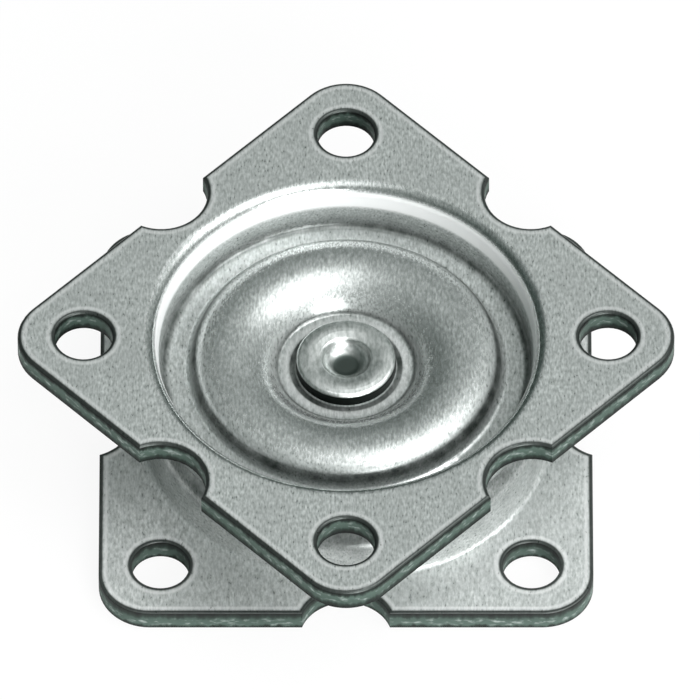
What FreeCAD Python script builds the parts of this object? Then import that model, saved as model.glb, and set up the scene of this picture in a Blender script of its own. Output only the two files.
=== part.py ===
"""Square turntable bearing: two identical pressed steel plates that turn on a ring of balls.

The plates face each other, one turned 45 degrees to the other, and one shouldered rivet holds
them together. Each plate is a flat square flange whose middle is pressed towards the other plate.
The pressed floor carries a round ridge, and the hollow inside the ridge is the ball race.

Frame: millimetres, +Z up. The origin is the middle of the underside, where the bottom plate's
flange rests. The turning axis is Z. The bottom plate's sides lie along X and Y.
"""

import FreeCAD, Part

import math
import os

# Sheet and flange
SHEET = 3.0                 # thickness of the steel sheet
CORNER_RADIUS = 6.2         # round of the four corners, seen from above
HOLE_DIAMETER = 7.0         # screw hole in each corner
HOLE_EDGE = 7.5             # middle of a screw hole to the two sides beside it
NOTCH_CLEARANCE = 2.1       # screw hole to the notch that the other plate has round it
NOTCH_MARGIN = 1.52         # flat sheet left between a notch and the bend
TOP_TURN = 45.0             # degrees that the top plate is turned from the bottom plate
DIE_ROLL = 0.4              # round of the sheared edges on the face against the furniture
BURR_ROUND = 0.2            # round of the sheared edges on the other face

# Pressed middle
PRESSING_DEPTH = 6.1        # flange face to floor face, on the side of the furniture
WALL_ANGLE = 82.0           # degrees that the sheet bends down from the flange
WALL_THICKNESS = 2.0        # the sheet thins where the wall is drawn
WALL_REACH = 10.3           # ball centre to where the outer face leaves the flange, along the radius
WALL_SHOULDER = 1.7         # round from the flange into the wall, outer face
WALL_FOOT = 0.8             # round from the wall into the floor, outer face
WALL_NOSE = 2.4             # round from the floor into the wall, inner face
WALL_ROOT = 0.8             # round from the wall into the flange, inner face
FLOOR_GAP = 1.2             # space between the two pressed floors

# Balls and race
BALL_DIAMETER = 8.0
RACE_RADIUS = 14.4          # turning axis to ball centre
RACE_PLAY = 0.05            # ball to groove, all round
LEAST_BALL_GAP = 0.05       # balls fill the race, with at least this between neighbours
LIP_ROUND = 0.35            # round of the groove's two lips
RIDGE_SHOULDER = 1.85       # sheet left between the groove and the ridge's foot towards the wall
RIDGE_ANGLE = 80.0          # slope of the ridge's side towards the wall
RIDGE_ROUND = 2.7           # round from the ridge's crest into that side
RIDGE_FOOT = 0.9            # round from that side into the floor
SEAT_ROUND = 0.5            # round from the ridge's crest into the rivet's seat

# Rivet
SHANK_DIAMETER = 7.0        # staked end, tight in the top plate
SHOULDER_DIAMETER = 8.5     # running part, in the bottom plate
RUNNING_CLEARANCE = 0.08    # shoulder to the bottom plate's hole, radial
HEAD_CLEARANCE = 0.15       # lower head to the bottom plate
HEAD_DIAMETER = 12.2
HEAD_HEIGHT = 1.8           # seat to rim, both heads
HEAD_EDGE = 0.6             # round of a head's rim
HEAD_BEVEL = 0.2            # bevel between a head's seat and its side
HEAD_CROWN = 0.25           # how far each head bulges above its rim
CROWN_ROUND = 3.0           # round of the bulge's top
DIMPLE_DIAMETER = 6.2       # mouth of the staking dimple
DIMPLE_ANGLE = 58.0         # slope of the dimple's side
DIMPLE_DEPTH = 1.5          # rim to the dimple's floor
DIMPLE_LIP = 0.4            # round of the dimple's mouth
DIMPLE_ROUND = 2.0          # round from the dimple's side into its floor

# Places that follow from the sizes
FLOOR = PRESSING_DEPTH + SHEET
OVERALL_HEIGHT = 2 * FLOOR + FLOOR_GAP
MID_HEIGHT = OVERALL_HEIGHT / 2
BALL_RADIUS = BALL_DIAMETER / 2
GROOVE_RADIUS = BALL_RADIUS + RACE_PLAY
CREST_RADIUS = GROOVE_RADIUS + SHEET
WALL_START = RACE_RADIUS + WALL_REACH
NOTCH_RADIUS = HOLE_DIAMETER / 2 + NOTCH_CLEARANCE
PITCH_CIRCLE = WALL_START + NOTCH_MARGIN + NOTCH_RADIUS
HOLE_PITCH = PITCH_CIRCLE * math.sqrt(2)
PLATE_SIDE = HOLE_PITCH + 2 * HOLE_EDGE
CROWN_RADIUS = (HEAD_DIAMETER + DIMPLE_DIAMETER) / 4

PARTS_FOLDER = "parts"
CORNERS = 4
TOLERANCE = 1e-6
UP = FreeCAD.Vector(0, 0, 1)
ALONG_X = FreeCAD.Vector(1, 0, 0)
AXIS_POINT = FreeCAD.Vector(0, 0, 0)


def section_point(radius, height):
    """A point of a turned section: radius along X, height along Z."""
    return FreeCAD.Vector(radius, 0, height)


def edge(start, end):
    """A straight edge."""
    return Part.LineSegment(start, end).toShape()


def arc(start, middle, end):
    """A round edge through three points."""
    return Part.Arc(start, middle, end).toShape()


def rounded_path(corners):
    """Straight runs through the corners, each corner rounded by its own tangent arc.

    Each corner is a point and a radius. The first and the last point aren't rounded.
    """
    edges = []
    reached = corners[0][0]
    for index in range(1, len(corners) - 1):
        corner, radius = corners[index]
        back = (corners[index - 1][0] - corner).normalize()
        ahead = (corners[index + 1][0] - corner).normalize()
        half_angle = back.getAngle(ahead) / 2
        setback = radius / math.tan(half_angle)
        inwards = (back + ahead).normalize()
        centre = corner + inwards * (radius / math.sin(half_angle))
        arc_start = corner + back * setback
        arc_end = corner + ahead * setback
        edges.append(edge(reached, arc_start))
        edges.append(arc(arc_start, centre - inwards * radius, arc_end))
        reached = arc_end
    edges.append(edge(reached, corners[-1][0]))
    return edges


def turned(edges):
    """The solid that a closed section makes when it turns once about the axis."""
    face = Part.Face(Part.Wire(Part.__sortEdges__(edges)))
    return face.revolve(AXIS_POINT, UP, 360)


def ridge_foot():
    """Where the ridge's side towards the wall would meet the floor without a round."""
    drop = MID_HEIGHT - PRESSING_DEPTH
    half_width = math.sqrt((GROOVE_RADIUS + RIDGE_SHOULDER) ** 2 - drop ** 2)
    return section_point(RACE_RADIUS + half_width, PRESSING_DEPTH)


def ridge_corner():
    """The round between the ridge's crest and its side towards the wall.

    The crest is concentric with the ball groove, one sheet away from it. Gives the touching point
    on the side, the round's middle and the touching point on the crest.
    """
    slope = math.radians(RIDGE_ANGLE)
    race_centre = section_point(RACE_RADIUS, MID_HEIGHT)
    foot = ridge_foot()
    along = FreeCAD.Vector(-math.cos(slope), 0, -math.sin(slope))
    inwards = FreeCAD.Vector(-math.sin(slope), 0, math.cos(slope))
    offset = foot + inwards * RIDGE_ROUND - race_centre
    reach = offset.dot(along)
    run = math.sqrt(reach ** 2 - offset.dot(offset) + (CREST_RADIUS - RIDGE_ROUND) ** 2) - reach
    centre = race_centre + offset + along * run
    to_crest = (centre - race_centre).normalize()
    middle = centre + (to_crest - inwards).normalize() * RIDGE_ROUND
    return foot + along * run, middle, race_centre + to_crest * CREST_RADIUS


def floor_round(side, race_circle, floor, radius):
    """The round between a circle about the ball's centre and a flat floor.

    Side is -1 towards the axis and 1 away from it. Gives the touching point on the floor, the
    round's middle and the touching point on the circle.
    """
    race_centre = section_point(RACE_RADIUS, MID_HEIGHT)
    drop = MID_HEIGHT - floor + radius
    offset = math.sqrt((race_circle + radius) ** 2 - drop ** 2)
    centre = race_centre + section_point(side * offset, -drop)
    to_race = (race_centre - centre).normalize()
    middle = centre + (to_race + UP).normalize() * radius
    return centre + UP * radius, middle, centre + to_race * radius


def wall_radius(height):
    """Radius of the pressed wall's outer face at one height, with its rounds left out."""
    wall_turn = math.radians(WALL_ANGLE)
    return WALL_START - WALL_SHOULDER * math.tan(wall_turn / 2) - height / math.tan(wall_turn)


def inner_wall_radius(height):
    """Radius of the pressed wall's inner face at one height, with its rounds left out."""
    return wall_radius(height) + WALL_THICKNESS / math.sin(math.radians(WALL_ANGLE))


def outer_face_path(rim_radius, hole_radius):
    """The face on the side of the furniture, from beyond the flange to the rivet hole."""
    side_end, side_middle, crest_start = ridge_corner()
    seat_start, seat_middle, crest_end = floor_round(-1, CREST_RADIUS, PRESSING_DEPTH, SEAT_ROUND)
    path = rounded_path([
        (section_point(rim_radius, 0), 0),
        (section_point(wall_radius(0), 0), WALL_SHOULDER),
        (section_point(wall_radius(PRESSING_DEPTH), PRESSING_DEPTH), WALL_FOOT),
        (ridge_foot(), RIDGE_FOOT),
        (side_end, 0),
    ])
    path.append(arc(side_end, side_middle, crest_start))
    path.append(arc(crest_start, section_point(RACE_RADIUS, MID_HEIGHT - CREST_RADIUS), crest_end))
    path.append(arc(crest_end, seat_middle, seat_start))
    path.append(edge(seat_start, section_point(hole_radius, PRESSING_DEPTH)))
    return path


def inner_face_path(rim_radius, hole_radius):
    """The face towards the other plate, from the rivet hole to beyond the flange."""
    inside_floor, inside_middle, inside_groove = floor_round(-1, GROOVE_RADIUS, FLOOR, LIP_ROUND)
    outside_floor, outside_middle, outside_groove = floor_round(1, GROOVE_RADIUS, FLOOR, LIP_ROUND)
    path = [
        edge(section_point(hole_radius, FLOOR), inside_floor),
        arc(inside_floor, inside_middle, inside_groove),
        arc(inside_groove, section_point(RACE_RADIUS, MID_HEIGHT - GROOVE_RADIUS), outside_groove),
        arc(outside_groove, outside_middle, outside_floor),
    ]
    return path + rounded_path([
        (outside_floor, 0),
        (section_point(inner_wall_radius(FLOOR), FLOOR), WALL_NOSE),
        (section_point(inner_wall_radius(SHEET), SHEET), WALL_ROOT),
        (section_point(rim_radius, SHEET), 0),
    ])


def flange_outline():
    """The square outline with round corners and a half-round notch in each side.

    A notch is round the other plate's screw hole, which lies on the same circle.
    """
    half = PLATE_SIDE / 2
    straight_end = half - CORNER_RADIUS
    corner_middle = straight_end + CORNER_RADIUS / math.sqrt(2)
    notch_half = math.sqrt(NOTCH_RADIUS ** 2 - (PITCH_CIRCLE - half) ** 2)
    notch_bottom = FreeCAD.Vector(PITCH_CIRCLE - NOTCH_RADIUS, 0, 0)
    side_start = FreeCAD.Vector(half, -straight_end, 0)
    notch_start = FreeCAD.Vector(half, -notch_half, 0)
    notch_end = FreeCAD.Vector(half, notch_half, 0)
    side_end = FreeCAD.Vector(half, straight_end, 0)
    next_start = FreeCAD.Vector(straight_end, half, 0)
    side = [
        edge(side_start, notch_start),
        arc(notch_start, notch_bottom, notch_end),
        edge(notch_end, side_end),
        arc(side_end, FreeCAD.Vector(corner_middle, corner_middle, 0), next_start),
    ]
    outline = []
    for quarter in range(CORNERS):
        for piece in side:
            outline.append(piece.rotated(AXIS_POINT, UP, quarter * 360 / CORNERS))
    return Part.Wire(Part.__sortEdges__(outline))


def screw_holes():
    """The four upright screw holes, as solids to cut away."""
    first = FreeCAD.Vector(HOLE_PITCH / 2, HOLE_PITCH / 2, 0)
    hole = Part.makeCylinder(HOLE_DIAMETER / 2, SHEET, first)
    turns = [quarter * 360 / CORNERS for quarter in range(CORNERS)]
    return Part.makeCompound([hole.rotated(AXIS_POINT, UP, turn) for turn in turns])


def stands_upright(face):
    """Whether a face's normal is level where its parameters start."""
    first_u, _, first_v, _ = face.ParameterRange
    return abs(face.normalAt(first_u, first_v).z) < TOLERANCE


def sheared_edges(plate, height):
    """The edges of the upright sheared faces that lie at one height."""
    found = []
    for face in plate.Faces:
        if stands_upright(face):
            found += [rim for rim in face.Edges
                      if all(abs(vertex.Z - height) < TOLERANCE for vertex in rim.Vertexes)]
    return found


def pressed_plate(hole_radius):
    """One plate, pressed upwards, with its flange's outer face at height 0."""
    rim_radius = PLATE_SIDE
    section = outer_face_path(rim_radius, hole_radius)
    section.append(edge(section_point(hole_radius, PRESSING_DEPTH), section_point(hole_radius, FLOOR)))
    section += inner_face_path(rim_radius, hole_radius)
    section.append(edge(section_point(rim_radius, SHEET), section_point(rim_radius, 0)))
    blank = Part.Face(flange_outline()).extrude(UP * (FLOOR + SHEET))
    plate = turned(section).common(blank).cut(screw_holes()).Solids[0]
    plate = plate.makeFillet(DIE_ROLL, sheared_edges(plate, 0))
    plate = plate.makeFillet(BURR_ROUND, sheared_edges(plate, SHEET))
    return plate.Solids[0]


def bottom_plate():
    """The bottom plate: pressed upwards, its middle hole runs on the rivet's shoulder."""
    return pressed_plate(SHOULDER_DIAMETER / 2 + RUNNING_CLEARANCE)


def top_plate():
    """The top plate: the same pressing turned over, staked tight on the rivet's shank."""
    plate = pressed_plate(SHANK_DIAMETER / 2)
    plate.rotate(AXIS_POINT, ALONG_X, 180)
    plate.translate(UP * OVERALL_HEIGHT)
    plate.rotate(AXIS_POINT, UP, TOP_TURN)
    return plate


def lower_head_path(seat):
    """The plain lower head's section, from the axis underneath out to the shoulder."""
    head_radius = HEAD_DIAMETER / 2
    rim = seat - HEAD_HEIGHT
    crown = rim - HEAD_CROWN
    path = rounded_path([
        (section_point(0, crown), 0),
        (section_point(CROWN_RADIUS, crown), CROWN_ROUND),
        (section_point(head_radius, rim), HEAD_EDGE),
        (section_point(head_radius, seat - HEAD_BEVEL), 0),
    ])
    path.append(edge(section_point(head_radius, seat - HEAD_BEVEL),
                     section_point(head_radius - HEAD_BEVEL, seat)))
    path.append(edge(section_point(head_radius - HEAD_BEVEL, seat),
                     section_point(SHOULDER_DIAMETER / 2, seat)))
    return path


def staked_head_path(seat):
    """The staked upper head's section, from the shank out and round into the dimple to the axis."""
    head_radius = HEAD_DIAMETER / 2
    rim = seat + HEAD_HEIGHT
    dimple_floor = rim - DIMPLE_DEPTH
    dimple_narrowing = DIMPLE_DEPTH / math.tan(math.radians(DIMPLE_ANGLE))
    path = [
        edge(section_point(SHANK_DIAMETER / 2, seat), section_point(head_radius - HEAD_BEVEL, seat)),
        edge(section_point(head_radius - HEAD_BEVEL, seat), section_point(head_radius, seat + HEAD_BEVEL)),
    ]
    return path + rounded_path([
        (section_point(head_radius, seat + HEAD_BEVEL), 0),
        (section_point(head_radius, rim), HEAD_EDGE),
        (section_point(CROWN_RADIUS, rim + HEAD_CROWN), CROWN_ROUND),
        (section_point(DIMPLE_DIAMETER / 2, rim), DIMPLE_LIP),
        (section_point(DIMPLE_DIAMETER / 2 - dimple_narrowing, dimple_floor), DIMPLE_ROUND),
        (section_point(0, dimple_floor), 0),
    ])


def centre_rivet():
    """The shouldered rivet: a plain lower head, the shoulder, the shank and a staked upper head."""
    lower_seat = PRESSING_DEPTH - HEAD_CLEARANCE
    upper_seat = OVERALL_HEIGHT - PRESSING_DEPTH
    step = upper_seat - SHEET
    bottom = lower_seat - HEAD_HEIGHT - HEAD_CROWN
    dimple_floor = upper_seat + HEAD_HEIGHT - DIMPLE_DEPTH
    shoulder = SHOULDER_DIAMETER / 2
    shank = SHANK_DIAMETER / 2
    section = lower_head_path(lower_seat)
    section.append(edge(section_point(shoulder, lower_seat), section_point(shoulder, step)))
    section.append(edge(section_point(shoulder, step), section_point(shank, step)))
    section.append(edge(section_point(shank, step), section_point(shank, upper_seat)))
    section += staked_head_path(upper_seat)
    section.append(edge(section_point(0, dimple_floor), section_point(0, bottom)))
    return turned(section)


def ball_count():
    """How many balls fill the race."""
    half_step = math.asin((BALL_DIAMETER + LEAST_BALL_GAP) / (2 * RACE_RADIUS))
    return int(math.pi / half_step)


def ball(number, count):
    """One ball of the ring, at its place in the race."""
    first = Part.makeSphere(BALL_RADIUS, section_point(RACE_RADIUS, MID_HEIGHT))
    return first.rotated(AXIS_POINT, UP, number * 360 / count)


def main():
    """Builds every piece and writes one file for each."""
    pieces = {
        "bottom_plate": bottom_plate(),
        "top_plate": top_plate(),
        "centre_rivet": centre_rivet(),
    }
    count = ball_count()
    for number in range(count):
        pieces[f"ball_{number + 1:02d}"] = ball(number, count)
    os.makedirs(PARTS_FOLDER, exist_ok=True)
    for name, shape in pieces.items():
        shape.exportStep(os.path.join(PARTS_FOLDER, name + ".step"))
        print(name, shape.ShapeType, shape.isValid(), round(shape.Volume, 2), len(shape.Faces))


main()
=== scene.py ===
"""Looks of a square turntable bearing: two zinc-plated pressed plates, a rivet and a ring of balls.

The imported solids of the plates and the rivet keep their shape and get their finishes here. The balls
are made again as smooth spheres, by a tree that sets one ball at each place of the ring. A paper floor,
a banded sky and two soft lamps light the bearing, and a long lens looks down on it from the front.

Sizes that are written here are real millimetres. Meshes are in metres, in the bearing's own frame.
"""

import logging
import math
from dataclasses import dataclass, field
from enum import Enum

import bpy
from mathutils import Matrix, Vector


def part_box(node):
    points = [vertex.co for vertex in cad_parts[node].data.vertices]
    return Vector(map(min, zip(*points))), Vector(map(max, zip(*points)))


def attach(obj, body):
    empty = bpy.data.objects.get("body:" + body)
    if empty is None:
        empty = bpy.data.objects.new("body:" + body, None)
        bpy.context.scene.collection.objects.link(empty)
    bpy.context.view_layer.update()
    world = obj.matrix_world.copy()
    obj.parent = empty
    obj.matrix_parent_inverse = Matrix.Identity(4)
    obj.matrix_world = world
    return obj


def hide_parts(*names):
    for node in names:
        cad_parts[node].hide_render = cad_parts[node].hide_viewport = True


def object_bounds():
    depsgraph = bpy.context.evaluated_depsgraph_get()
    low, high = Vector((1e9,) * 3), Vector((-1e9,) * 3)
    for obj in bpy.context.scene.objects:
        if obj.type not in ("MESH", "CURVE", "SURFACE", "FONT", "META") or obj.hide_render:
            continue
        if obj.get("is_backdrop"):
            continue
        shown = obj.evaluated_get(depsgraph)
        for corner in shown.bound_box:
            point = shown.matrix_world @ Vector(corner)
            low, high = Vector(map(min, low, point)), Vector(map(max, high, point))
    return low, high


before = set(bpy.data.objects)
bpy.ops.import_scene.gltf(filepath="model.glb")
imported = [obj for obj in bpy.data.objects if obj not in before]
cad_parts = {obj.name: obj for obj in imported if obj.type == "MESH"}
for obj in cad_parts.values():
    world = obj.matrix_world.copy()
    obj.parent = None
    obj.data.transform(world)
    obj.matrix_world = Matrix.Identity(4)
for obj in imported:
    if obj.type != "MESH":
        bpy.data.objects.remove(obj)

Tree = bpy.types.NodeTree
Socket = bpy.types.NodeSocket
Colour = tuple[float, float, float, float]
Range = tuple[float, float]
Size = tuple[float, float, float]         # along X, Y and Z
Ring = tuple[float, float, float]         # middle radius, half width and strength
Bands = tuple[tuple[float, str], ...]     # a colour ramp's stops: place and sRGB hex colour

LOG = logging.getLogger("turntable_bearing")
MM = 0.001
WHITE = "#FFFFFF"

FEW_LAYERS, MORE_LAYERS = 2.0, 3.0        # finer layers that lie over a pattern's lumps
NOISE_RANGE: Range = (0.28, 0.72)         # where nearly all of the noise texture's values lie
STEEP_RANGE: Range = (0.72, 0.3)          # the normal's share along Z at slopes of 44 and 72 degrees


class Facing(Enum):
    """Which way along Z a plate's outer face looks."""

    UP = 1.0
    DOWN = -1.0


class Plating(Enum):
    """A plate's plating: its light tone, its dark tone and how much of it shines as metal."""

    BRIGHT = ("#EEF2F1", "#8E9592", 0.66)
    # A paler, less metallic copy of the same plating: painted light that lifts the top plate's shade on the
    # lower plate.
    LIFTED_AGAINST_SHADE = ("#F2F5F4", "#979E9B", 0.38)

    def __init__(self, light: str, dark: str, metal: float) -> None:
        """Names the two tones and the share of metal."""
        self.light, self.dark, self.metal = light, dark, metal


def to_linear(hex_colour: str) -> Colour:
    """Turns an sRGB hex colour into the linear colour that shaders take.

    Args:
        hex_colour: Six hex digits after a hash sign.

    Returns:
        Red, green, blue and an alpha of 1.
    """
    channels = []
    for start in (1, 3, 5):
        value = int(hex_colour[start:start + 2], 16) / 255
        channels.append(value / 12.92 if value <= 0.04045 else ((value + 0.055) / 1.055) ** 2.4)
    return (channels[0], channels[1], channels[2], 1.0)


def add_node(tree: Tree, kind: str, inputs: dict[str | int, object] | None = None, bands: Bands = (),
             **settings: object) -> bpy.types.Node:
    """Adds one node with its settings, its values and its links.

    A mix node takes its share at input 0, numbers at 2 and 3, and colours at 6 and 7. It gives a mixed
    number at output 0 and a mixed colour at output 2.

    Args:
        tree: The node tree that gets the node.
        kind: The node's type name.
        inputs: For each input, by name or number, a value or the output socket to link.
        bands: For a colour ramp, each stop's place and sRGB hex colour.
        settings: The node's own properties.

    Returns:
        The new node.
    """
    node = tree.nodes.new(kind)
    for name, value in settings.items():
        setattr(node, name, value)
    for name, value in (inputs or {}).items():
        if isinstance(value, bpy.types.NodeSocket):
            tree.links.new(value, node.inputs[name])
        else:
            node.inputs[name].default_value = value
    if bands:
        stops = node.color_ramp.elements
        stops[0].position, stops[1].position = bands[0][0], bands[-1][0]
        for position, _ in bands[1:-1]:
            stops.new(position)
        for stop, (_, hex_colour) in zip(stops, bands):
            stop.color = to_linear(hex_colour)
    return node


def empty_tree(owner: bpy.types.Material | bpy.types.World) -> Tree:
    """Gives a material or a world an empty node tree.

    Args:
        owner: The material or world.

    Returns:
        Its node tree.
    """
    owner.use_nodes = True
    owner.node_tree.nodes.clear()
    return owner.node_tree


def add_object(name: str, data: bpy.types.ID) -> bpy.types.Object:
    """Makes an object and puts it in the scene.

    Args:
        name: The object's name.
        data: Its mesh, lamp or camera data.

    Returns:
        The object, at the origin.
    """
    piece = bpy.data.objects.new(name, data)
    bpy.context.scene.collection.objects.link(piece)
    return piece


def stand(piece: bpy.types.Object, place: Vector, back: Vector) -> None:
    """Stands a lamp or the camera at a place, turned so that it looks away from its back.

    Args:
        piece: The lamp's or the camera's object.
        place: Where it stands, in metres.
        back: The direction behind it.
    """
    piece.location = place
    piece.rotation_mode = "QUATERNION"
    piece.rotation_quaternion = back.to_track_quat("Z", "Y")


def dress(piece: bpy.types.Object, material: bpy.types.Material) -> bpy.types.Object:
    """Gives a piece one material in its only slot.

    Args:
        piece: The piece's object.
        material: Its finish.

    Returns:
        The same object.
    """
    piece.data.materials.clear()
    piece.data.materials.append(material)
    return piece


@dataclass(frozen=True)
class Surface:
    """Where a shaded point lies on its piece, in millimetres, as sockets of one material's tree."""

    tree: Tree
    point: Socket
    height: Socket
    radius: Socket
    upward: Socket

    @classmethod
    def of(cls, tree: Tree) -> "Surface":
        """Adds the nodes that find the point, its height, its distance from the axis and its slope.

        Args:
            tree: The material's node tree.

        Returns:
            The surface, whose upward socket is the normal's share along Z.
        """
        coordinates = add_node(tree, "ShaderNodeTexCoord").outputs
        point = add_node(tree, "ShaderNodeVectorMath", {0: coordinates["Object"], "Scale": 1 / MM},
                         operation="SCALE").outputs[0]
        parts = add_node(tree, "ShaderNodeSeparateXYZ", {0: point}).outputs
        level = add_node(tree, "ShaderNodeCombineXYZ", {"X": parts["X"], "Y": parts["Y"]}).outputs[0]
        radius = add_node(tree, "ShaderNodeVectorMath", {0: level}, operation="LENGTH").outputs["Value"]
        normal = add_node(tree, "ShaderNodeSeparateXYZ", {0: coordinates["Normal"]}).outputs
        return cls(tree, point, parts["Z"], radius, normal["Z"])

    def lumps(self, size: Size, layers: float) -> Socket:
        """Makes uneven lumps, stretched to the whole range from 0 to 1.

        Args:
            size: The lumps' size along X, Y and Z, in millimetres.
            layers: How many finer layers lie over them.

        Returns:
            The pattern.
        """
        scaled = add_node(self.tree, "ShaderNodeVectorMath", {0: self.point, 1: size}, operation="DIVIDE")
        raw = add_node(self.tree, "ShaderNodeTexNoise",
                       {"Vector": scaled.outputs[0], "Scale": 1.0, "Detail": layers})
        low, high = NOISE_RANGE
        return add_node(self.tree, "ShaderNodeMapRange",
                        {"Value": raw.outputs[0], "From Min": low, "From Max": high}).outputs[0]

    def band(self, measure: Socket, middle: float, half_width: float) -> Socket:
        """Makes a soft band of any measure: 1 at its middle and 0 from its half width on.

        Args:
            measure: What the band is a band of, such as the radius.
            middle: The measure at the band's middle.
            half_width: How far from the middle the band ends.

        Returns:
            The band.
        """
        away = add_node(self.tree, "ShaderNodeMath", {0: measure, 1: middle}, operation="SUBTRACT")
        distance = add_node(self.tree, "ShaderNodeMath", {0: away.outputs[0]}, operation="ABSOLUTE")
        return add_node(self.tree, "ShaderNodeMapRange",
                        {"Value": distance.outputs[0], "From Min": half_width, "From Max": 0.0},
                        interpolation_type="SMOOTHSTEP").outputs[0]

    def ring(self, middle: float, half_width: float) -> Socket:
        """Makes a soft ring round the turning axis: 1 at its middle and 0 from its half width on."""
        return self.band(self.radius, middle, half_width)

    def rings(self, rings: tuple[Ring, ...]) -> Socket:
        """Joins soft rings round the turning axis.

        Args:
            rings: Each ring's middle radius, half width and strength.

        Returns:
            Their sum, which ends at 1.
        """
        total: Socket | float = 0.0
        for middle, half_width, strength in rings:
            total = add_node(self.tree, "ShaderNodeMath",
                             {0: self.ring(middle, half_width), 1: strength, 2: total},
                             operation="MULTIPLY_ADD", use_clamp=True).outputs[0]
        return total

    def upright(self) -> Socket:
        """Finds steep faces: 1 above a slope of about 72 degrees, and 0 below about 44 degrees.

        Returns:
            The share.
        """
        level = add_node(self.tree, "ShaderNodeMath", {0: self.upward}, operation="ABSOLUTE")
        start, end = STEEP_RANGE
        return add_node(self.tree, "ShaderNodeMapRange",
                        {"Value": level.outputs[0], "From Min": start, "From Max": end},
                        interpolation_type="SMOOTHSTEP").outputs[0]


@dataclass(frozen=True)
class PlateOutline:
    """A plate's outline seen from above: a square with round corners, four notches and four screw holes.

    Attributes:
        turn: How far the plate's sides are turned from X and Y, in degrees.
        hole_place: How far a hole's centre is from the two middle lines.
    """

    turn: float
    half_side: float = 30.0
    corner_radius: float = 6.2
    notch_radius: float = 5.6
    hole_radius: float = 3.5
    hole_place: float = 22.5

    def distance(self, surface: Surface) -> Socket:
        """Measures how far a point of a face is from the nearest sheared edge, in millimetres.

        The outline's eight like parts are folded onto one, between a notch and a hole.

        Args:
            surface: The point's place on the plate.

        Returns:
            The distance, which is positive on the plate.
        """
        tree = surface.tree
        straight = self.half_side - self.corner_radius
        turned = add_node(tree, "ShaderNodeVectorRotate",
                          {"Vector": surface.point, "Angle": math.radians(self.turn)}, rotation_type="Z_AXIS")
        folded = add_node(tree, "ShaderNodeVectorMath", {0: turned.outputs[0]}, operation="ABSOLUTE")
        parts = add_node(tree, "ShaderNodeSeparateXYZ", {0: folded.outputs[0]}).outputs
        sides = {0: parts["X"], 1: parts["Y"]}
        far = add_node(tree, "ShaderNodeMath", sides, operation="MAXIMUM").outputs[0]
        near = add_node(tree, "ShaderNodeMath", sides, operation="MINIMUM").outputs[0]
        spot = add_node(tree, "ShaderNodeCombineXYZ", {"X": far, "Y": near}).outputs[0]
        past = add_node(tree, "ShaderNodeVectorMath", {0: spot, 1: (straight, straight, 0)},
                        operation="SUBTRACT")
        beyond = add_node(tree, "ShaderNodeVectorMath", {0: past.outputs[0], 1: (0, 0, 0)},
                          operation="MAXIMUM")
        corner = add_node(tree, "ShaderNodeVectorMath", {0: beyond.outputs[0]}, operation="LENGTH")
        inside = add_node(tree, "ShaderNodeMath", {0: far, 1: straight}, operation="SUBTRACT")
        short = add_node(tree, "ShaderNodeMath", {0: inside.outputs[0], 1: 0.0}, operation="MINIMUM")
        reach = add_node(tree, "ShaderNodeMath", {0: corner.outputs["Value"], 1: short.outputs[0]},
                         operation="ADD")
        nearest = add_node(tree, "ShaderNodeMath", {0: self.corner_radius, 1: reach.outputs[0]},
                           operation="SUBTRACT").outputs[0]
        notch_place = self.hole_place * math.sqrt(2)
        for centre, radius in (((notch_place, 0, 0), self.notch_radius),
                               ((self.hole_place, self.hole_place, 0), self.hole_radius)):
            apart = add_node(tree, "ShaderNodeVectorMath", {0: spot, 1: centre}, operation="DISTANCE")
            gap = add_node(tree, "ShaderNodeMath", {0: apart.outputs["Value"], 1: radius},
                           operation="SUBTRACT")
            nearest = add_node(tree, "ShaderNodeMath", {0: nearest, 1: gap.outputs[0]},
                               operation="MINIMUM").outputs[0]
        return nearest


@dataclass(frozen=True)
class Rubbed:
    """A zone that the die rubs: its rings, and how metallic and how rough it gets there."""

    rings: tuple[Ring, ...]
    metal: float
    roughness: float


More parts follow.
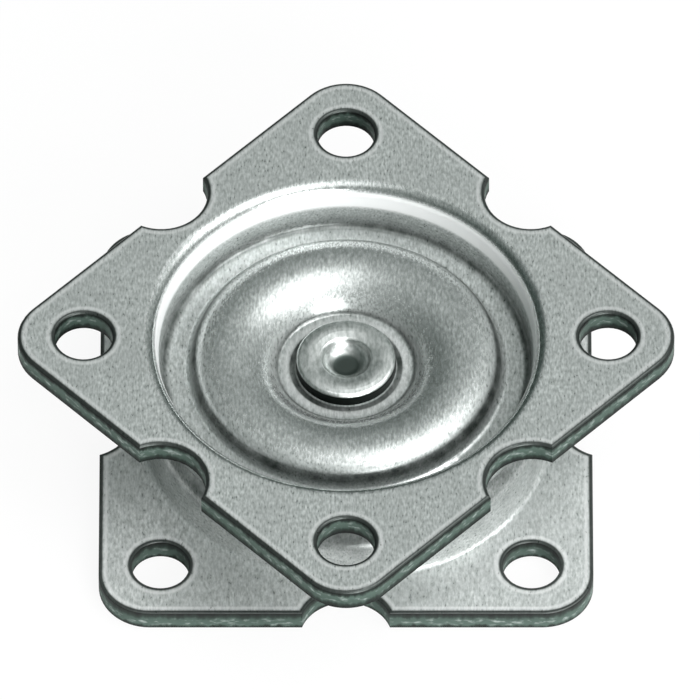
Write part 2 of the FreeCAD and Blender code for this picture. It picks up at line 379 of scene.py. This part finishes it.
@dataclass(frozen=True)
class ZincPlatedSheet:
    """Zinc-plated mild steel sheet, blanked and pressed.

    The plating is a neutral pale grey with a satin grain along the rolling direction. The die polishes
    the bend and the ridge to a shine. The upper wall and a ring round the rivet's seat are painted pale
    and matt: a painted highlight. Along the outline, where the current is strongest, the plating burns
    to a dark line, and a pale line beside it is a painted highlight of the edge.
    The corners of the pressing, on both faces, are painted dark with uneven strength: painted shade.
    The blanked edge shows a sheared band with bright flecks between a dark die roll and a rough dark break.

    Attributes:
        outer_height: Height of the outer face, from which depths are measured.
        sheet: Thickness of the sheet.
    """

    name: str
    facing: Facing
    outline: PlateOutline
    outer_height: float
    plating: Plating
    sheet: float = 3.0

    dull: str = "#B0B4B3"
    # Colour of the painted shade in the pressing's corners.
    corner_shade: str = "#2A322E"
    # Colour of the painted highlight on the upper wall, the seat's ring and beside the outline.
    pale: str = "#F7F8F8"
    burnt: str = "#262D2A"

    # The blanked edge's tones, by how far through the sheet they lie, and how far their borders wander.
    edge_bands: Bands = ((0.05, "#121614"), (0.17, "#25302B"), (0.30, "#54665E"), (0.60, "#4A5C54"),
                         (0.74, "#2B3631"), (0.93, "#101412"))
    edge_ragged: Size = (0.8, 0.8, 2.5)
    edge_wander: float = 0.3
    fleck: str = "#AEB8B4"
    fleck_size: Size = (1.1, 1.1, 0.5)
    fleck_start: float = 0.55
    fleck_share: float = 0.8
    fleck_band: Range = (0.45, 0.28)

    # Real grain is some hundredths of a millimetre wide, which is too fine to show. Grain and speckle
    # are drawn as coarse as they need to be to show, two to four pixels wide in the picture.
    grain: Size = (0.24, 0.75, 0.24)
    speckle: Size = (0.45, 0.6, 0.45)
    speckle_share: float = 0.28
    cloud: Size = (8.0, 10.0, 8.0)
    cloud_share: float = 0.4

    # Sheared edges lie outside rim_start. The burnt line fades between its two widths, and the pale line
    # beside it, a painted highlight, has its middle and its half width.
    rim_start: float = 25.7
    burn_width: Range = (0.34, 0.6)
    burn_share: float = 0.94
    edge_highlight: Range = (0.85, 0.4)
    edge_highlight_share: float = 0.55

    # What the press leaves: rubbed ridge and bend. Then a painted highlight on the upper wall, by radius
    # and by depth, and on a ring round the rivet's seat, and painted shade in the corners of both faces.
    rubbed: tuple[Rubbed, ...] = (Rubbed(((13.3, 5.2, 1.6),), 0.78, 0.22),
                                  Rubbed(((23.7, 0.95, 1.6),), 0.95, 0.17))
    wall: Range = (22.9, 1.1)
    wall_strength: float = 2.0
    pale_depth: Range = (2.0, 1.65)
    pale_strength: float = 2.5
    pale_rings: tuple[Ring, ...] = ((7.3, 0.8, 0.3),)
    # Rings of painted shade in the outer face's corners; the last one draws a dark line round the rivet's
    # seat.
    corner_shade_rings: tuple[Ring, ...] = ((22.1, 0.8, 0.95), (18.6, 0.65, 1.3),
                                       (8.4, 0.4, 0.7), (6.55, 0.5, 2.2))
    inner_corner_shade_rings: tuple[Ring, ...] = ((23.5, 2.1, 0.8),)
    corner_shade_lump: Size = (2.5, 2.5, 2.5)
    corner_shade_least: float = 0.55

    roughness: float = 0.31
    roughness_spread: float = 0.04
    pale_metal: float = 0.2
    pale_roughness: float = 0.45
    broken: float = 0.62
    bump_strength: float = 0.08
    bump_height: float = 0.02

    def depth(self, surface: Surface) -> Socket:
        """Measures how far a point lies behind the outer face, in millimetres."""
        below = add_node(surface.tree, "ShaderNodeMath", {0: surface.height, 1: self.outer_height},
                         operation="SUBTRACT")
        return add_node(surface.tree, "ShaderNodeMath", {0: below.outputs[0]},
                        operation="ABSOLUTE").outputs[0]

    def outer(self, surface: Surface) -> Socket:
        """Tells the outer face, 1, from the inner face, 0."""
        outward = add_node(surface.tree, "ShaderNodeMath", {0: surface.upward, 1: self.facing.value},
                           operation="MULTIPLY")
        return add_node(surface.tree, "ShaderNodeMath", {0: outward.outputs[0], 1: 0.0},
                        operation="GREATER_THAN").outputs[0]

    def sheared(self, surface: Surface) -> Socket:
        """Finds the blanked edges: upright faces outside the pressed middle."""
        outside = add_node(surface.tree, "ShaderNodeMath", {0: surface.radius, 1: self.rim_start},
                           operation="GREATER_THAN")
        return add_node(surface.tree, "ShaderNodeMath", {0: surface.upright(), 1: outside.outputs[0]},
                        operation="MULTIPLY").outputs[0]

    def edge_colour(self, surface: Surface) -> Socket:
        """Colours the blanked edge from the die's side to the burr's side, with ragged borders and flecks.

        Args:
            surface: The point's place on the plate.

        Returns:
            The edge's colour.
        """
        tree = surface.tree
        ragged = add_node(tree, "ShaderNodeMapRange",
                          {"Value": surface.lumps(self.edge_ragged, MORE_LAYERS),
                           "To Min": -self.edge_wander, "To Max": self.edge_wander})
        moved = add_node(tree, "ShaderNodeMath", {0: self.depth(surface), 1: ragged.outputs[0]},
                         operation="ADD")
        through = add_node(tree, "ShaderNodeMath", {0: moved.outputs[0], 1: self.sheet},
                           operation="DIVIDE").outputs[0]
        banded = add_node(tree, "ShaderNodeValToRGB", {0: through}, bands=self.edge_bands)
        flecks = add_node(tree, "ShaderNodeMapRange",
                          {"Value": surface.lumps(self.fleck_size, MORE_LAYERS),
                           "From Min": self.fleck_start, "To Max": self.fleck_share})
        middle = add_node(tree, "ShaderNodeMath",
                          {0: surface.band(through, *self.fleck_band), 1: flecks.outputs[0]},
                          operation="MULTIPLY")
        return add_node(tree, "ShaderNodeMix",
                        {0: middle.outputs[0], 6: banded.outputs[0], 7: to_linear(self.fleck)},
                        data_type="RGBA").outputs[2]

    def burnt_line(self, surface: Surface, distance: Socket) -> Socket:
        """Finds the narrow burnt line on the faces along the outline and round the holes."""
        full, end = self.burn_width
        return add_node(surface.tree, "ShaderNodeMapRange",
                        {"Value": distance, "From Min": end, "From Max": full, "To Max": self.burn_share},
                        interpolation_type="SMOOTHSTEP").outputs[0]

    def edge_highlight_line(self, surface: Surface, distance: Socket) -> Socket:
        """Finds the pale line beside the burnt one: a painted highlight along the outline."""
        return add_node(surface.tree, "ShaderNodeMath",
                        {0: surface.band(distance, *self.edge_highlight), 1: self.edge_highlight_share},
                        operation="MULTIPLY").outputs[0]

    def painted_shade(self, surface: Surface) -> Socket:
        """Finds the painted shade: the corners of both faces, painted dark with uneven strength.

        Args:
            surface: The point's place on the plate.

        Returns:
            How strong the painted shade is.
        """
        tree = surface.tree
        uneven = add_node(tree, "ShaderNodeMapRange",
                          {"Value": surface.lumps(self.corner_shade_lump, MORE_LAYERS), "To Min": self.corner_shade_least})
        rings = add_node(tree, "ShaderNodeMix",
                         {0: self.outer(surface), 2: surface.rings(self.inner_corner_shade_rings),
                          3: surface.rings(self.corner_shade_rings)})
        return add_node(tree, "ShaderNodeMath", {0: rings.outputs[0], 1: uneven.outputs[0]},
                        operation="MULTIPLY").outputs[0]

    def painted_highlight(self, surface: Surface) -> Socket:
        """Finds the painted highlight on the outer face: the upper wall and a ring round the rivet's seat,
        painted pale and matt.

        Args:
            surface: The point's place on the plate.

        Returns:
            How strongly the painted highlight lies there.
        """
        tree = surface.tree
        high = add_node(tree, "ShaderNodeMath",
                        {0: surface.band(self.depth(surface), *self.pale_depth), 1: self.pale_strength},
                        operation="MULTIPLY", use_clamp=True)
        wall = add_node(tree, "ShaderNodeMath", {0: surface.ring(*self.wall), 1: self.wall_strength},
                        operation="MULTIPLY", use_clamp=True)
        both = add_node(tree, "ShaderNodeMath",
                        {0: high.outputs[0], 1: wall.outputs[0], 2: surface.rings(self.pale_rings)},
                        operation="MULTIPLY_ADD")
        return add_node(tree, "ShaderNodeMath", {0: both.outputs[0], 1: self.outer(surface)},
                        operation="MULTIPLY").outputs[0]

    def plated(self, surface: Surface, grain: Socket) -> Socket:
        """Colours the plated faces with grain, speckle and faint clouds.

        Args:
            surface: The point's place on the plate.
            grain: The grain's pattern.

        Returns:
            The plating's colour.
        """
        tree = surface.tree
        mixed = add_node(tree, "ShaderNodeMix",
                         {0: self.speckle_share, 2: grain, 3: surface.lumps(self.speckle, FEW_LAYERS)})
        grained = add_node(tree, "ShaderNodeMix",
                           {0: mixed.outputs[0], 6: to_linear(self.plating.dark),
                            7: to_linear(self.plating.light)}, data_type="RGBA")
        clouds = add_node(tree, "ShaderNodeMapRange",
                          {"Value": surface.lumps(self.cloud, FEW_LAYERS), "To Max": self.cloud_share})
        return add_node(tree, "ShaderNodeMix",
                        {0: clouds.outputs[0], 6: grained.outputs[2], 7: to_linear(self.dull)},
                        data_type="RGBA").outputs[2]

    def colour(self, surface: Surface, grain: Socket, pale: Socket, sheared: Socket) -> Socket:
        """Lays the press's and the plating bath's traces, the painted highlight, the painted shade and the
        blanked edge over the plated faces.

        Args:
            surface: The point's place on the plate.
            grain: The grain's pattern.
            pale: How strongly the painted highlight lies there.
            sheared: Where the blanked edge is.

        Returns:
            The sheet's colour.
        """
        distance = self.outline.distance(surface)
        colour = self.plated(surface, grain)
        # Over the plating go the painted highlight, the painted highlight beside the outline, the painted
        # shade, the burnt line and the blanked edge.
        for share, over in ((pale, to_linear(self.pale)),
                            (self.edge_highlight_line(surface, distance), to_linear(self.pale)),
                            (self.painted_shade(surface), to_linear(self.corner_shade)),
                            (self.burnt_line(surface, distance), to_linear(self.burnt)),
                            (sheared, self.edge_colour(surface))):
            colour = add_node(surface.tree, "ShaderNodeMix", {0: share, 6: colour, 7: over},
                              data_type="RGBA").outputs[2]
        return colour

    def shine(self, surface: Surface, grain: Socket, pale: Socket, sheared: Socket) -> tuple[Socket, Socket]:
        """Finds how metallic and how rough the sheet is.

        Args:
            surface: The point's place on the plate.
            grain: The grain's pattern.
            pale: Where the painted highlight lies; the plating is also matt there.
            sheared: Where the blanked edge is.

        Returns:
            The share of metal and the roughness.
        """
        tree = surface.tree
        outer = self.outer(surface)
        zones = [(add_node(tree, "ShaderNodeMath", {0: surface.rings(zone.rings), 1: outer},
                           operation="MULTIPLY").outputs[0], zone.metal, zone.roughness)
                 for zone in self.rubbed]
        zones.append((pale, self.pale_metal, self.pale_roughness))
        metal, rough = self.plating.metal, self.roughness
        for share, zone_metal, zone_rough in zones:
            metal = add_node(tree, "ShaderNodeMix", {0: share, 2: metal, 3: zone_metal}).outputs[0]
            rough = add_node(tree, "ShaderNodeMix", {0: share, 2: rough, 3: zone_rough}).outputs[0]
        varied = add_node(tree, "ShaderNodeMapRange",
                          {"Value": grain, "To Min": -self.roughness_spread, "To Max": self.roughness_spread})
        uneven = add_node(tree, "ShaderNodeMath", {0: rough, 1: varied.outputs[0]}, operation="ADD")
        rough = add_node(tree, "ShaderNodeMix", {0: sheared, 2: uneven.outputs[0], 3: self.broken}).outputs[0]
        return metal, rough

    def make(self) -> bpy.types.Material:
        """Makes the material.

        Returns:
            The finished node material.
        """
        material = bpy.data.materials.new(self.name)
        tree = empty_tree(material)
        surface = Surface.of(tree)
        grain = surface.lumps(self.grain, FEW_LAYERS)
        traces = (surface, grain, self.painted_highlight(surface), self.sheared(surface))
        metal, rough = self.shine(*traces)
        bump = add_node(tree, "ShaderNodeBump", {"Height": grain, "Strength": self.bump_strength,
                                                 "Distance": self.bump_height * MM})
        shader = add_node(tree, "ShaderNodeBsdfPrincipled",
                          {"Base Color": self.colour(*traces), "Metallic": metal, "Roughness": rough,
                           "Normal": bump.outputs[0]})
        add_node(tree, "ShaderNodeOutputMaterial", {"Surface": shader.outputs[0]})
        return material


@dataclass(frozen=True)
class ColdHeadedRivet:
    """Zinc-plated cold-headed steel.

    It is smoother and paler than the sheet. The staking punch leaves faint rings on the head and
    burnishes the dimple. The dimple is painted dark, a painted shade, and so is the head's upright side.
    """

    name: str
    light: str = "#F0F3F2"
    dark: str = "#BAC0BD"
    # Colour of the painted shade on the head's upright side.
    side: str = "#1C221F"
    # Colour of the painted shade in the dimple.
    dimple_shade: str = "#5F6864"

    # Real grain and punch marks are finer. They are drawn as coarse as they need to be to show.
    grain: Size = (0.35, 0.9, 0.35)
    mark_step: float = 0.5
    mark_strength: float = 0.3

    # Where the dimple's painted shade lies, which is also the burnished zone.
    dimple: tuple[Ring, ...] = ((0.0, 2.8, 2.2),)
    roughness: Range = (0.36, 0.42)
    burnished: float = 0.3
    bump_strength: float = 0.1
    bump_height: float = 0.02

    def make(self) -> bpy.types.Material:
        """Makes the material.

        Returns:
            The finished node material.
        """
        material = bpy.data.materials.new(self.name)
        tree = empty_tree(material)
        surface = Surface.of(tree)
        grain = surface.lumps(self.grain, MORE_LAYERS)
        colour = add_node(tree, "ShaderNodeMix",
                          {0: grain, 6: to_linear(self.dark), 7: to_linear(self.light)},
                          data_type="RGBA").outputs[2]
        upper = add_node(tree, "ShaderNodeMath", {0: surface.upward, 1: 0.0}, operation="GREATER_THAN")
        dimple = add_node(tree, "ShaderNodeMath", {0: surface.rings(self.dimple), 1: upper.outputs[0]},
                          operation="MULTIPLY").outputs[0]
        # Painted shade: the dimple and the head's upright side are painted dark.
        for share, over in ((dimple, self.dimple_shade), (surface.upright(), self.side)):
            colour = add_node(tree, "ShaderNodeMix", {0: share, 6: colour, 7: to_linear(over)},
                              data_type="RGBA").outputs[2]
        turns = add_node(tree, "ShaderNodeMath", {0: surface.radius, 1: math.tau / self.mark_step},
                         operation="MULTIPLY")
        waves = add_node(tree, "ShaderNodeMath", {0: turns.outputs[0]}, operation="SINE")
        marks = add_node(tree, "ShaderNodeMath", {0: waves.outputs[0], 1: self.mark_strength, 2: grain},
                         operation="MULTIPLY_ADD")
        bump = add_node(tree, "ShaderNodeBump", {"Height": marks.outputs[0], "Strength": self.bump_strength,
                                                 "Distance": self.bump_height * MM})
        low, high = self.roughness
        struck = add_node(tree, "ShaderNodeMapRange", {"Value": grain, "To Min": low, "To Max": high})
        rough = add_node(tree, "ShaderNodeMix", {0: dimple, 2: struck.outputs[0], 3: self.burnished})
        shader = add_node(tree, "ShaderNodeBsdfPrincipled",
                          {"Base Color": colour, "Metallic": 1.0, "Roughness": rough.outputs[0],
                           "Normal": bump.outputs[0]})
        add_node(tree, "ShaderNodeOutputMaterial", {"Surface": shader.outputs[0]})
        return material


@dataclass(frozen=True)
class PolishedBearingSteel:
    """Hardened, ground and polished ball steel, with a thin uneven smear of grease that dulls it."""

    name: str
    clean: str = "#C4C8CA"
    greased: str = "#9C9A86"
    smear: Size = (2.2, 2.2, 1.4)
    roughness: Range = (0.09, 0.3)

    def make(self) -> bpy.types.Material:
        """Makes the material.

        Returns:
            The finished node material.
        """
        material = bpy.data.materials.new(self.name)
        tree = empty_tree(material)
        share = Surface.of(tree).lumps(self.smear, MORE_LAYERS)
        colour = add_node(tree, "ShaderNodeMix",
                          {0: share, 6: to_linear(self.clean), 7: to_linear(self.greased)},
                          data_type="RGBA")
        low, high = self.roughness
        rough = add_node(tree, "ShaderNodeMapRange", {"Value": share, "To Min": low, "To Max": high})
        shader = add_node(tree, "ShaderNodeBsdfPrincipled",
                          {"Base Color": colour.outputs[2], "Metallic": 1.0, "Roughness": rough.outputs[0]})
        add_node(tree, "ShaderNodeOutputMaterial", {"Surface": shader.outputs[0]})
        return material


@dataclass(frozen=True)
class StudioPaper:
    """Matt white studio paper, lit from behind so that the bearing's shadow on it stays light.

    It is clear from below and where it almost touches, so the underside can be seen and gets light.

    Attributes:
        glow: How much of the paper's light comes from behind it.
        touching: How short a ray has to be to pass through the paper.
    """

    name: str = "studio_paper"
    colour: str = "#F6F6F6"
    glow: float = 0.92
    touching: float = 0.6

    def make(self) -> bpy.types.Material:
        """Makes the material.

        Returns:
            The finished node material.
        """
        material = bpy.data.materials.new(self.name)
        tree = empty_tree(material)
        path = add_node(tree, "ShaderNodeLightPath").outputs
        paper = add_node(tree, "ShaderNodeBsdfDiffuse", {"Color": to_linear(self.colour)})
        shine = add_node(tree, "ShaderNodeEmission", {"Color": to_linear(WHITE)})
        seen = add_node(tree, "ShaderNodeMath", {0: path["Is Camera Ray"], 1: self.glow},
                        operation="MULTIPLY")
        lit = add_node(tree, "ShaderNodeMixShader",
                       {0: seen.outputs[0], 1: paper.outputs[0], 2: shine.outputs[0]})
        clear = add_node(tree, "ShaderNodeBsdfTransparent")
        below = add_node(tree, "ShaderNodeNewGeometry").outputs["Backfacing"]
        near = add_node(tree, "ShaderNodeMath", {0: path["Ray Length"], 1: self.touching * MM},
                        operation="LESS_THAN")
        either = add_node(tree, "ShaderNodeMath", {0: below, 1: near.outputs[0]}, operation="MAXIMUM")
        surface = add_node(tree, "ShaderNodeMixShader",
                           {0: either.outputs[0], 1: lit.outputs[0], 2: clear.outputs[0]})
        add_node(tree, "ShaderNodeOutputMaterial", {"Surface": surface.outputs[0]})
        return material


@dataclass
class PressedPlate:
    """One pressed plate. Its solid keeps its shape and gets the sheet's finish."""

    node: str
    facing: Facing
    turn: float
    plating: Plating

    def outer_height(self) -> float:
        """Gives the height of the plate's outer face, in millimetres."""
        low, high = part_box(self.node)
        return (high.z if self.facing is Facing.UP else low.z) / MM

    def build(self) -> bpy.types.Object:
        """Gives the plate its finish.

        Returns:
            The plate's object.
        """
        finish = ZincPlatedSheet(f"zinc_plated_pressed_steel_{self.node}", self.facing,
                                 PlateOutline(self.turn), self.outer_height(), self.plating)
        return dress(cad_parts[self.node], finish.make())


@dataclass
class CentreRivet:
    """The staked rivet. Its solid keeps its shape and gets the rivet's finish."""

    node: str = "centre_rivet"

    def build(self) -> bpy.types.Object:
        """Gives the rivet its finish."""
        return dress(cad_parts[self.node], ColdHeadedRivet("zinc_plated_cold_headed_steel").make())


@dataclass
class BallRing:
    """The ring of balls: one smooth ball at each place of the race.

    Attributes:
        segments: How many faces go round a ball.
        rings: How many rows of faces lie between its poles.
    """

    name: str = "ball_ring"
    body: str = "balls"
    slot: str = "ball_steel"
    segments: int = 56
    rings: int = 28
    nodes: list[str] = field(
        default_factory=lambda: sorted(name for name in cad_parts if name.startswith("ball_")))

    def ring_tree(self) -> Tree:
        """Builds the tree that sets a ball at each place of a circle.

        Returns:
            The node tree, with inputs for the count, the sizes, the height and the material.
        """
        tree = bpy.data.node_groups.new("ball_ring_tree", "GeometryNodeTree")
        tree.interface.new_socket("Geometry", in_out="OUTPUT", socket_type="NodeSocketGeometry")
        for name, kind in (("Ball count", "Int"), ("Race radius", "Float"), ("Ball radius", "Float"),
                           ("Ball height", "Float"), ("Ball steel", "Material")):
            tree.interface.new_socket(name, in_out="INPUT", socket_type=f"NodeSocket{kind}")
        given = add_node(tree, "NodeGroupInput").outputs
        places = add_node(tree, "GeometryNodeMeshCircle",
                          {"Vertices": given["Ball count"], "Radius": given["Race radius"]})
        ball = add_node(tree, "GeometryNodeMeshUVSphere",
                        {"Segments": self.segments, "Rings": self.rings, "Radius": given["Ball radius"]})
        ring = add_node(tree, "GeometryNodeInstanceOnPoints",
                        {"Points": places.outputs[0], "Instance": ball.outputs[0]})
        lift = add_node(tree, "ShaderNodeCombineXYZ", {"Z": given["Ball height"]})
        raised = add_node(tree, "GeometryNodeTranslateInstances",
                          {"Instances": ring.outputs[0], "Translation": lift.outputs[0]})
        real = add_node(tree, "GeometryNodeRealizeInstances", {0: raised.outputs[0]})
        smooth = add_node(tree, "GeometryNodeSetShadeSmooth", {0: real.outputs[0], "Shade Smooth": True})
        dressed = add_node(tree, "GeometryNodeSetMaterial",
                           {0: smooth.outputs[0], "Material": given["Ball steel"]})
        add_node(tree, "NodeGroupOutput", {0: dressed.outputs[0]})
        return tree

    def build(self) -> bpy.types.Object:
        """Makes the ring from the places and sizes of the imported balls.

        Returns:
            The ring as one plain mesh, riding on the balls' body.
        """
        low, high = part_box(self.nodes[0])
        middle = (low + high) / 2
        values = {
            "Ball count": len(self.nodes),
            "Race radius": math.hypot(middle.x, middle.y),
            "Ball radius": (high.z - low.z) / 2,
            "Ball height": middle.z,
            "Ball steel": PolishedBearingSteel("polished_bearing_steel").make(),
        }
        maker = add_object("ball_ring_maker", bpy.data.meshes.new("ball_ring_maker"))
        modifier = maker.modifiers.new("ring", "NODES")
        modifier.node_group = self.ring_tree()
        for item in modifier.node_group.interface.items_tree:
            if item.in_out == "INPUT":
                modifier[item.identifier] = values[item.name]
        evaluated = maker.evaluated_get(bpy.context.evaluated_depsgraph_get())
        mesh = bpy.data.meshes.new_from_object(evaluated)
        maker.modifiers.remove(modifier)
        bpy.data.objects.remove(maker)
        piece = add_object(self.name, mesh)
        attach(piece, self.body)
        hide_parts(*self.nodes)
        return piece


@dataclass
class Studio:
    """The floor, the sky, the lamps and the camera.

    The front lamp stands to the right, off the line from a viewer at the rear through the bearing, so
    that the flanges don't glare from there. The camera looks down as steeply as the drawing does.

    Attributes:
        floor_opening: Radius of the floor's opening under the pressed middle.
        floor_gap: How far the floor lies below the bearing.
        light_from: Direction of the main lamp and of the sky's bright spot.
        fill_from: Direction of the front lamp.
        sky_bands: The sky's tones, from straight opposite the bright spot, 0, to the spot itself, 1.
        view_sine: Sine of the camera's height angle.
        view_width: How much the picture's width spans.
        view_right: How far the camera aims to the right of the top's middle.
        view_down: How far it aims below the top's middle, in the picture.
    """

    floor_radius: float = 6000.0
    floor_points: int = 96
    floor_opening: float = 25.0
    floor_gap: float = 0.15
    light_from: Vector = field(default_factory=lambda: Vector((0.42, -0.12, 0.90)).normalized())
    fill_from: Vector = field(default_factory=lambda: Vector((0.35, -0.844, 0.407)).normalized())
    lamp_distance: float = 700.0
    lamp_side: float = 400.0
    lamp_power: float = 1.4
    fill_power: float = 4.4
    sky_strength: float = 2.05
    sky_below: str = "#A4A8A6"
    sky_bands: Bands = ((0.0, "#222C28"), (0.50, "#28322E"), (0.64, "#3C4441"), (0.75, "#5F6462"),
                        (0.885, "#7D817F"), (0.935, "#C8CAC9"), (0.962, WHITE))
    lens: float = 1200.0
    sensor: float = 36.0
    view_sine: float = 0.778
    view_width: float = 84.93
    view_right: float = 0.485
    view_down: float = 1.747

    def floor(self) -> None:
        """Lays the round floor, facing up, under the bearing, open under the pressed middle."""
        mesh = bpy.data.meshes.new("floor")
        count = self.floor_points
        turns = [math.tau * step / count for step in range(count)]
        rims = [(radius * MM * math.cos(turn), radius * MM * math.sin(turn), -self.floor_gap * MM)
                for radius in (self.floor_opening, self.floor_radius) for turn in turns]
        mesh.from_pydata(rims, [], [[step, count + step, count + (step + 1) % count, (step + 1) % count]
                                    for step in range(count)])
        dress(add_object("floor", mesh), StudioPaper().make())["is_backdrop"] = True

    def sky(self) -> None:
        """Lights the scene from all round, most from one side above, and evenly from below.

        The camera sees white behind the bearing.
        """
        world = bpy.data.worlds.new("studio_sky")
        tree = empty_tree(world)
        direction = add_node(tree, "ShaderNodeTexCoord").outputs["Generated"]
        towards = add_node(tree, "ShaderNodeVectorMath", {0: direction, 1: self.light_from},
                           operation="DOT_PRODUCT")
        share = add_node(tree, "ShaderNodeMapRange", {"Value": towards.outputs["Value"], "From Min": -1.0})
        bands = add_node(tree, "ShaderNodeValToRGB", {0: share.outputs[0]}, bands=self.sky_bands)
        height = add_node(tree, "ShaderNodeSeparateXYZ", {0: direction}).outputs["Z"]
        below = add_node(tree, "ShaderNodeMath", {0: height, 1: 0.0}, operation="LESS_THAN")
        sky = add_node(tree, "ShaderNodeMix",
                       {0: below.outputs[0], 6: bands.outputs[0], 7: to_linear(self.sky_below)},
                       data_type="RGBA")
        light = add_node(tree, "ShaderNodeBackground",
                         {"Color": sky.outputs[2], "Strength": self.sky_strength})
        white = add_node(tree, "ShaderNodeBackground", {"Color": to_linear(WHITE), "Strength": 1.0})
        seen = add_node(tree, "ShaderNodeLightPath").outputs["Is Camera Ray"]
        both = add_node(tree, "ShaderNodeMixShader", {0: seen, 1: light.outputs[0], 2: white.outputs[0]})
        add_node(tree, "ShaderNodeOutputWorld", {"Surface": both.outputs[0]})
        bpy.context.scene.world = world

    def lamps(self) -> None:
        """Hangs a soft lamp on the sky's bright side and one in front, which lights the lower plate."""
        for name, direction, power in (("main_lamp", self.light_from, self.lamp_power),
                                       ("front_lamp", self.fill_from, self.fill_power)):
            data = bpy.data.lights.new(name, "AREA")
            data.shape = "DISK"
            data.size = self.lamp_side * MM
            data.energy = power
            stand(add_object(name, data), direction * self.lamp_distance * MM, direction)

    def camera(self, top: float) -> None:
        """Sets the camera in front and above, with a lens so long that lines stay parallel.

        Args:
            top: Height of the bearing's top, in metres.
        """
        cosine = math.sqrt(1 - self.view_sine ** 2)
        back = Vector((0, -cosine, self.view_sine))
        up = Vector((0, self.view_sine, cosine))
        aim = Vector((self.view_right * MM, 0, top)) - up * self.view_down * MM
        data = bpy.data.cameras.new("camera")
        data.sensor_width = self.sensor
        data.lens = self.lens
        distance = self.view_width * MM * self.lens / self.sensor
        data.clip_end = 2 * distance
        piece = add_object("camera", data)
        stand(piece, aim + back * distance, back)
        bpy.context.scene.camera = piece


def main() -> None:
    """Builds the sub-assemblies in order and sets up the studio."""
    logging.basicConfig(level=logging.INFO, format="%(name)s: %(message)s")
    cad_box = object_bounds()
    # The lower plate takes the paler copy of the plating, painted light against the top plate's shade.
    for part in (PressedPlate("bottom_plate", Facing.DOWN, 0.0, Plating.LIFTED_AGAINST_SHADE),
                 PressedPlate("top_plate", Facing.UP, 45.0, Plating.BRIGHT), CentreRivet(), BallRing()):
        piece = part.build()
        LOG.info("%s: %d faces", piece.name, len(piece.data.polygons))
    studio = Studio()
    studio.floor()
    studio.sky()
    studio.lamps()
    studio.camera(cad_box[1].z)
    bpy.context.scene.view_settings.view_transform = "Standard"


if __name__ == "__main__":
    main()
